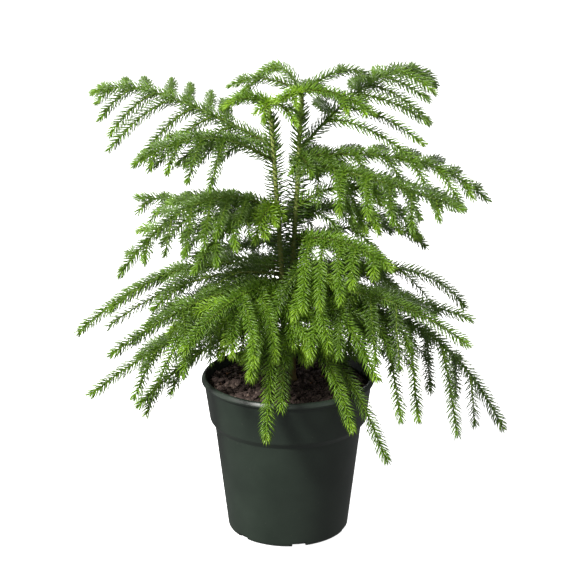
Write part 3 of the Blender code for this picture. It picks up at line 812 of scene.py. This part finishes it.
# %% All shoots
BOUGH_POINTS, LEADER_POINTS = 25, 5
BOUGH_CORE, YOUNG_CORE, LEADER_CORE = (1.35, 0.5), (1.0, 0.45), (1.5, 0.8)
BOUGH_NEEDLES = (1.2, 1.05)       # a bough's needles against its twigs', at its root and its tip
LEADER_NEEDLES = (6.0, 4.0)
BOUGH_DENSITY, LEADER_DENSITY = 2.7, 5.0
BOUGH_BARE, YOUNG_BARE = 5.0, 1.0  # the run next to the stem that carries no needles
chance = random.Random(SEED)
for bough in boughs:
    habit = habit_of(bough)
    line = bough.points(np.linspace(0.0, 1.0, BOUGH_POINTS))
    shoots.append(Shoot(bough.stem, line, YOUNG_CORE if bough.young else BOUGH_CORE,
                        np.multiply(habit["needle"], BOUGH_NEEDLES), bough.tone, BOUGH_DENSITY,
                        habit["tip"], YOUNG_BARE if bough.young else BOUGH_BARE, "bough"))
    grow_twigs(bough, chance)
for stem in STEMS:
    foot = stem_point(stem, stem_top(stem))
    line = np.array([foot + UP * part * LEADER_LENGTH
                     for part in np.linspace(0.0, 1.0, LEADER_POINTS)])
    shoots.append(Shoot(stem, line, LEADER_CORE, LEADER_NEEDLES, NEW, LEADER_DENSITY, kind="bough"))
print("shoots:", len(shoots), "run in mm:", round(sum(shoot.length for shoot in shoots)))

# %% [markdown]
# A needle is a stiff little awl, three-sided, that curves in towards its shoot. It is made once,
# straight and one unit long, and each copy is bent as it is placed: it leaves the shoot at one
# angle and ends at a smaller one.

# %% Needle template
NEEDLE_ROOT = 0.9                 # radius at the root
NEEDLE_MIDDLE = 0.95              # radius further out, as a share of that at the root,
NEEDLE_MIDDLE_HEIGHT = 0.55       # and the share of the length where it is reached
NEEDLE_TIP = (0.0, 0.0, 1.0)
needle_bm = bmesh.new()
bmesh.ops.create_circle(needle_bm, segments=3, radius=NEEDLE_ROOT)
foot_rim = list(needle_bm.edges)
grown = bmesh.ops.extrude_edge_only(needle_bm, edges=foot_rim)["geom"]
for vert in (item for item in grown if isinstance(item, bmesh.types.BMVert)):
    vert.co = Vector((*(vert.co.xy * NEEDLE_MIDDLE), NEEDLE_MIDDLE_HEIGHT))
middle_rim = [item for item in grown if isinstance(item, bmesh.types.BMEdge)]
grown = bmesh.ops.extrude_edge_only(needle_bm, edges=middle_rim)["geom"]
tip_verts = [item for item in grown if isinstance(item, bmesh.types.BMVert)]
bmesh.ops.pointmerge(needle_bm, verts=tip_verts, merge_co=NEEDLE_TIP)
bmesh.ops.dissolve_degenerate(needle_bm, edges=needle_bm.edges, dist=MERGE_DISTANCE)
bmesh.ops.recalc_face_normals(needle_bm, faces=needle_bm.faces)
needle_points, needle_faces = template_of(needle_bm)
print("needle corners:", len(needle_points), "triangles:", len(needle_faces))

# %% [markdown]
# Needles stand in a spiral. Those on a shoot's two sides open a little wider than those above and
# below, which is what gives the shoots their feathery, flattened look. Towards the tip they crowd,
# shorten and close, and there the growth is younger and one tone brighter.

# %% Directions along a shoot
UPRIGHT_NUDGE = 0.01              # gives an upright shoot a crosswise direction too


def frames_along(shoot, where):
    """Centre, heading and one crosswise direction of a shoot at distances along it."""
    headings = np.gradient(shoot.points, shoot.at, axis=0)
    headings /= np.linalg.norm(headings, axis=1)[:, None]
    cross = [unit(np.cross(headings[0], UP + UPRIGHT_NUDGE * headings[0][::-1]))]
    for heading in headings[1:]:
        cross.append(unit(cross[-1] - heading * (cross[-1] @ heading)))

    def at_places(rows):
        return np.stack([np.interp(where, shoot.at, rows[:, k]) for k in range(3)], axis=1)

    centre, heading, side = at_places(shoot.points), at_places(headings), at_places(np.array(cross))
    heading /= np.linalg.norm(heading, axis=1)[:, None]
    side -= heading * (side * heading).sum(axis=1)[:, None]
    side /= np.linalg.norm(side, axis=1)[:, None]
    return centre, heading, side


# %% Needles on a shoot
GOLDEN_ANGLE = math.radians(137.5)
NEEDLE_WIDTH = 0.52               # millimetres for each unit of the template's radius
TOP_ANGLE, SIDE_ANGLE = 44.0, 49.0  # from the shoot, above and below it and at its sides
SMALLEST_ANGLE = 2.0
CURL = 20.0                       # how much less the angle is at a needle's point than at its root
ROOT_DEPTH = 0.55                 # where in the core a needle starts, as a share of its radius
WORN_DENSITY = 0.62               # needles left on deep green shoots, old and painted shade, as a share
TIP_RUN, TIP_RUN_SHARE = 15.0, 0.6  # how far the tip goes back, and at most as a share
TIP_CROWD = 0.25                  # extra needles along the tip, as a share of the density
CLOSING_POWER, SHORTENING_POWER = 1.3, 1.5
YOUNG_START, YOUNG_SPREAD = 0.25, 0.3  # where in the tip the brighter growth starts
PLACE_CHANCE, TURN_CHANCE, OPEN_CHANCE = 0.15, 0.08, 2.5
LENGTH_CHANCE, WIDTH_CHANCE = (0.92, 1.06), (0.85, 1.1)


def needles_on(shoot, chance):
    """Rows for the stamp: root, heading, outward, length, first and last angle, width, tone."""
    run = shoot.length - shoot.bare
    density = shoot.density * (WORN_DENSITY if shoot.tone == DEEP_SHADED else 1.0)
    count = int(density * run)
    where = shoot.bare + run * (np.arange(count) + PLACE_CHANCE * chance.random(count)) / count
    tip_run = min(TIP_RUN, TIP_RUN_SHARE * run)
    extra = int(TIP_CROWD * density * tip_run)
    where = np.concatenate([where, shoot.length - tip_run * chance.random(extra)])
    total = len(where)
    turn = np.arange(total) * GOLDEN_ANGLE + chance.normal(0.0, TURN_CHANCE, total)
    centre, heading, side = frames_along(shoot, where)
    outward = np.cos(turn)[:, None] * side + np.sin(turn)[:, None] * np.cross(heading, side)
    share = where / shoot.length
    near_tip = np.clip(1.0 - (shoot.length - where) / tip_run, 0.0, 1.0)
    open_by = between((TOP_ANGLE, SIDE_ANGLE), np.abs(np.cos(turn)))
    open_by = between((open_by, shoot.tip_angle), near_tip ** CLOSING_POWER)
    open_by = open_by + chance.normal(0.0, OPEN_CHANCE, total)
    length = between(shoot.needle, share)
    length = length * (1.0 - shoot.tip_loss * near_tip ** SHORTENING_POWER)
    length = length * chance.uniform(*LENGTH_CHANCE, total)
    root = centre + outward * (ROOT_DEPTH * between(shoot.core, share))[:, None]
    tone = shoot.tone + (near_tip > YOUNG_START + YOUNG_SPREAD * chance.random())
    first = np.radians(open_by + 0.5 * CURL)
    last = np.radians(np.maximum(open_by - 0.5 * CURL, SMALLEST_ANGLE))
    width = NEEDLE_WIDTH * chance.uniform(*WIDTH_CHANCE, total)
    return root, heading, outward, length, first, last, width, np.minimum(NEW, tone)


needles_chance = np.random.default_rng(SEED + 1)
gathered = {stem: [] for stem in STEMS}
for shoot in shoots:
    gathered[shoot.stem].append(needles_on(shoot, needles_chance))
needle_rows = {stem: [np.concatenate(column) for column in zip(*rows)]
               for stem, rows in gathered.items()}
print("needles:", {stem: len(rows[0]) for stem, rows in needle_rows.items()})

# %% [markdown]
# The stems carry needles of their own, long and stout ones. Low on a stem they stand straight out,
# towards its top they rise, and near the soil they have fallen.

# %% Needles along the stems
STEM_NEEDLES_FROM = 62.0          # above the soil
STEM_STEP = 4.0
STEM_CORE = (2.6, 1.8)
STEM_NEEDLE_LENGTH = 13.0
STEM_NEEDLE_WIDTH = 1.5           # against the shoots'
STEM_DENSITY = 2.3
STEM_OPEN, STEM_OPEN_CHANCE = 84.0, 5.0
STEM_RISING = (310.0, 370.0)      # between these heights they turn from level to rising,
STEM_RISING_BY = 28.0             # by this angle
STEM_CURL = 16.0
for stem in STEMS:
    heights = np.arange(SOIL_TOP + STEM_NEEDLES_FROM, stem_top(stem), STEM_STEP)
    line = np.array([stem_point(stem, height) for height in heights])
    stem_shoot = Shoot(stem, line, STEM_CORE, (STEM_NEEDLE_LENGTH, STEM_NEEDLE_LENGTH), MATURE,
                       STEM_DENSITY, kind="stem")
    root, heading, outward, length, _, _, width, _ = needles_on(stem_shoot, needles_chance)
    young = np.clip((root[:, 2] - STEM_RISING[0]) / np.ptp(STEM_RISING), 0.0, 1.0)
    open_by = needles_chance.normal(STEM_OPEN, STEM_OPEN_CHANCE, len(root))
    first = np.radians(open_by - STEM_RISING_BY * young)
    last = first - math.radians(STEM_CURL)
    tone = np.full(len(root), stem_shoot.tone)
    more = (root, heading, outward, length, first, last, width * STEM_NEEDLE_WIDTH, tone)
    needle_rows[stem] = [np.concatenate(pair) for pair in zip(needle_rows[stem], more)]
    print("needles on the", stem, "stem:", len(root))

# %% Bending and placing the needles
def bent_needles(root, heading, outward, length, first, last, width):
    """Place the template once for each row."""
    along = needle_points[:, 2][None]
    curl = (last - first)[:, None]
    angle = first[:, None] + curl * along
    forward = (np.sin(angle) - np.sin(first)[:, None]) / curl * length[:, None]
    away = (np.cos(first)[:, None] - np.cos(angle)) / curl * length[:, None]
    edge = np.cross(outward, heading)
    heading, outward = heading[:, None], outward[:, None]
    flat = -np.sin(angle)[..., None] * heading + np.cos(angle)[..., None] * outward
    made = root[:, None] + forward[..., None] * heading + away[..., None] * outward
    made += (needle_points[:, 0] * width[:, None])[..., None] * edge[:, None]
    made += (needle_points[:, 1] * width[:, None])[..., None] * flat
    return made


# %% Needle finishes and pieces
# The deep and fresh colours are partly painted shade and painted light, by where a bough faces.
NEEDLE_TONES = [                  # name, dark and light colour
    ("deep", (0.056, 0.112, 0.010), (0.096, 0.180, 0.018)),
    ("mature", (0.076, 0.155, 0.008), (0.122, 0.235, 0.014)),
    ("fresh", (0.115, 0.240, 0.008), (0.175, 0.330, 0.016)),
    ("new", (0.180, 0.340, 0.010), (0.260, 0.450, 0.022)),
]
MOST_NEEDLES = 21000              # keeps a piece under 200,000 triangles
for tone, (name, dark, light) in enumerate(NEEDLE_TONES):
    finish = mottled(f"{name}_needles", dark, light, roughness=0.38, specular=0.8, scale=55.0)
    for stem, columns in needle_rows.items():
        chosen = np.flatnonzero(columns[-1] == tone)
        bent = bent_needles(*(column[chosen] for column in columns[:-1]))
        for part, start in enumerate(range(0, len(chosen), MOST_NEEDLES)):
            piece_name = f"needles_{name}_{stem}_{part + 1}"
            mesh = stamped_mesh(piece_name, bent[start:start + MOST_NEEDLES], needle_faces)
            keep(piece_name, mesh, finish, nodes_called(f"foliage_{stem}"))

# %% [markdown]
# Under the needles run the shoots' own cores. Each is a tapering tube that follows its line: curve
# objects make such tubes well, since one curve can hold hundreds of lines with a radius at each
# point, and it becomes one mesh.

# %% Helpers for cores
CAP_MERGE = 0.000005              # closes the tubes' caps


def tubes(name, lines, roundness):
    """One mesh of tapering tubes. A line is (points, radii), in millimetres."""
    curve = bpy.data.curves.new(name, "CURVE")
    curve.dimensions = "3D"
    curve.bevel_depth = MM
    curve.bevel_resolution = roundness
    curve.use_fill_caps = True
    for points, radii in lines:
        spline = curve.splines.new("POLY")
        spline.points.add(len(points) - 1)
        rows = np.column_stack([points * MM, np.ones(len(points))])
        spline.points.foreach_set("co", rows.astype(np.float32).ravel())
        spline.points.foreach_set("radius", np.asarray(radii, np.float32))
    rod = bpy.data.objects.new(name, curve)
    scene.collection.objects.link(rod)
    mesh = evaluated_mesh(rod)
    bm = bmesh.new()
    bm.from_mesh(mesh)
    bmesh.ops.remove_doubles(bm, verts=bm.verts, dist=CAP_MERGE)
    bmesh.ops.recalc_face_normals(bm, faces=bm.faces)
    bm.to_mesh(mesh)
    bm.free()
    return mesh


def core_lines(stem, kind):
    """Points and radii of all the cores of one kind on a stem."""
    return [(shoot.points, between(shoot.core, shoot.at / shoot.length)) for shoot in shoots
            if shoot.stem == stem and shoot.kind == kind]


# %% Cores of the twigs
TWIG_DARK = (0.110, 0.175, 0.018)
TWIG_LIGHT = (0.200, 0.290, 0.036)
twig_finish = mottled("green_twig_bark", TWIG_DARK, TWIG_LIGHT, roughness=0.5, specular=0.4,
                      scale=90.0)
for stem in STEMS:
    mesh = tubes(f"twigs_{stem}", core_lines(stem, "twig"), roundness=0)
    keep(f"twigs_{stem}", mesh, twig_finish, nodes_called(f"foliage_{stem}"))

# %% [markdown]
# Boughs and stems show more of their bark: green and ridged by the needles' feet, turning brown and
# scaly where the wood is older, near the stems and low on them. The ridges are in the mesh, pushed
# along its normals by noise that is stretched along the limb.

# %% Bark relief
RELIEF = (1.0, 2.0, 3)            # roughness, step in fineness and layers of the noise


def roughen(mesh, height, scale, stretch):
    """Push a mesh's points along their normals by stretched noise, for the bark's relief."""
    for vert in mesh.vertices:
        spot = Vector((vert.co.x * scale, vert.co.y * scale, vert.co.z * scale / stretch))
        vert.co += vert.normal * height * MM * noise.fractal(spot, *RELIEF)


# %% Boughs
BOUGH_INNER = (0.070, 0.070, 0.018)
BOUGH_OUTER = (0.120, 0.175, 0.024)
LEVEL = (1.0, 1.0, 0.0)
INNER_TO_OUTER = (0.010, 0.090)   # distances from the plant's middle, in metres
bough_finish = Finish("bough_bark", BOUGH_OUTER, roughness=0.72, specular=0.3)
level_place = bough_finish.stretched(LEVEL)
distance = bough_finish.node("VectorMath", {}, {0: level_place}, "LENGTH").outputs["Value"]
age = bough_finish.spread(distance, source=INNER_TO_OUTER)
age = bough_finish.added(bough_finish.grain(scale=140.0), amount=0.5, base=age)
bough_finish.colour_from(bough_finish.ramp(age, [(0.2, BOUGH_INNER), (1.0, BOUGH_OUTER)]))
bough_finish.bump_from(bough_finish.grain(scale=700.0), strength=0.5, depth=0.0004)
for stem in STEMS:
    mesh = tubes(f"boughs_{stem}", core_lines(stem, "bough"), roundness=2)
    roughen(mesh, height=0.25, scale=500.0, stretch=1.0)
    replaced = nodes_called(f"bough_{stem}", f"foliage_{stem}")
    keep(f"boughs_{stem}", mesh, bough_finish.material, replaced)

# %% Stem finish
BARK_BROWN = (0.200, 0.130, 0.055)
BARK_TAN = (0.230, 0.215, 0.070)
BARK_GREEN = (0.230, 0.270, 0.075)
BROWN_TO_GREEN = (0.17, 0.30)     # heights, in metres
ALONG_STEM = (1.0, 1.0, 0.4)
stem_finish = Finish("stem_bark", BARK_GREEN, roughness=0.7, specular=0.3)
above_foot = stem_finish.node("SeparateXYZ", {}, {"Vector": stem_finish.place}).outputs["Z"]
age = stem_finish.spread(above_foot, source=BROWN_TO_GREEN)
blotches = stem_finish.grain(scale=160.0, detail=5.0, place=stem_finish.stretched(ALONG_STEM))
age = stem_finish.added(blotches, amount=0.45, base=age)
bark_stops = [(0.15, BARK_BROWN), (0.55, BARK_TAN), (1.1, BARK_GREEN)]
stem_finish.colour_from(stem_finish.ramp(age, bark_stops))
stem_finish.bump_from(stem_finish.grain(scale=600.0), strength=0.6, depth=0.0005)

# %% Stems
STEM_RADII = (2.9, 1.7)           # at the soil and at the top
STEM_FLARE_RADIUS = 4.4
STEM_FLARE_HEIGHT = 12.0
STEM_RING = 1.0                   # from one ring of points to the next
STEM_SUNK = 2.0                   # how far a stem goes into the soil
for stem in STEMS:
    top = stem_top(stem)
    heights = np.arange(SOIL_TOP - STEM_SUNK, top + STEM_RING / 2.0, STEM_RING)
    share = (heights - SOIL_TOP) / (top - SOIL_TOP)
    flare = np.clip(1.0 - (heights - SOIL_TOP) / STEM_FLARE_HEIGHT, 0.0, 1.0) ** 2
    radii = between(STEM_RADII, share) + flare * (STEM_FLARE_RADIUS - STEM_RADII[0])
    line = np.array([stem_point(stem, height) for height in heights])
    mesh = tubes(f"bark_stem_{stem}", [(line, radii)], roundness=6)
    roughen(mesh, height=0.45, scale=420.0, stretch=2.5)
    keep(f"bark_stem_{stem}", mesh, stem_finish.material, [f"stem_{stem}"])

# %% [markdown]
# Last comes the floor, a plain pale sheet that isn't part of the plant.

# %% Floor
FLOOR_SIDE = 14.0
FLOOR_GLOW = 1.0
floor_bm = bmesh.new()
bmesh.ops.create_grid(floor_bm, x_segments=1, y_segments=1, size=FLOOR_SIDE / 2.0)
floor = bpy.data.objects.new("studio_floor", mesh_of(floor_bm, "studio_floor"))
floor_finish = Finish("pale_floor", (0.9, 0.9, 0.9), roughness=0.9, specular=0.1)
floor_finish.shader.inputs["Emission Color"].default_value = (*WHITE, 1.0)
floor_finish.shader.inputs["Emission Strength"].default_value = FLOOR_GLOW
floor.data.materials.append(floor_finish.material)
floor.visible_diffuse = False
floor.visible_glossy = False
scene.collection.objects.link(floor)
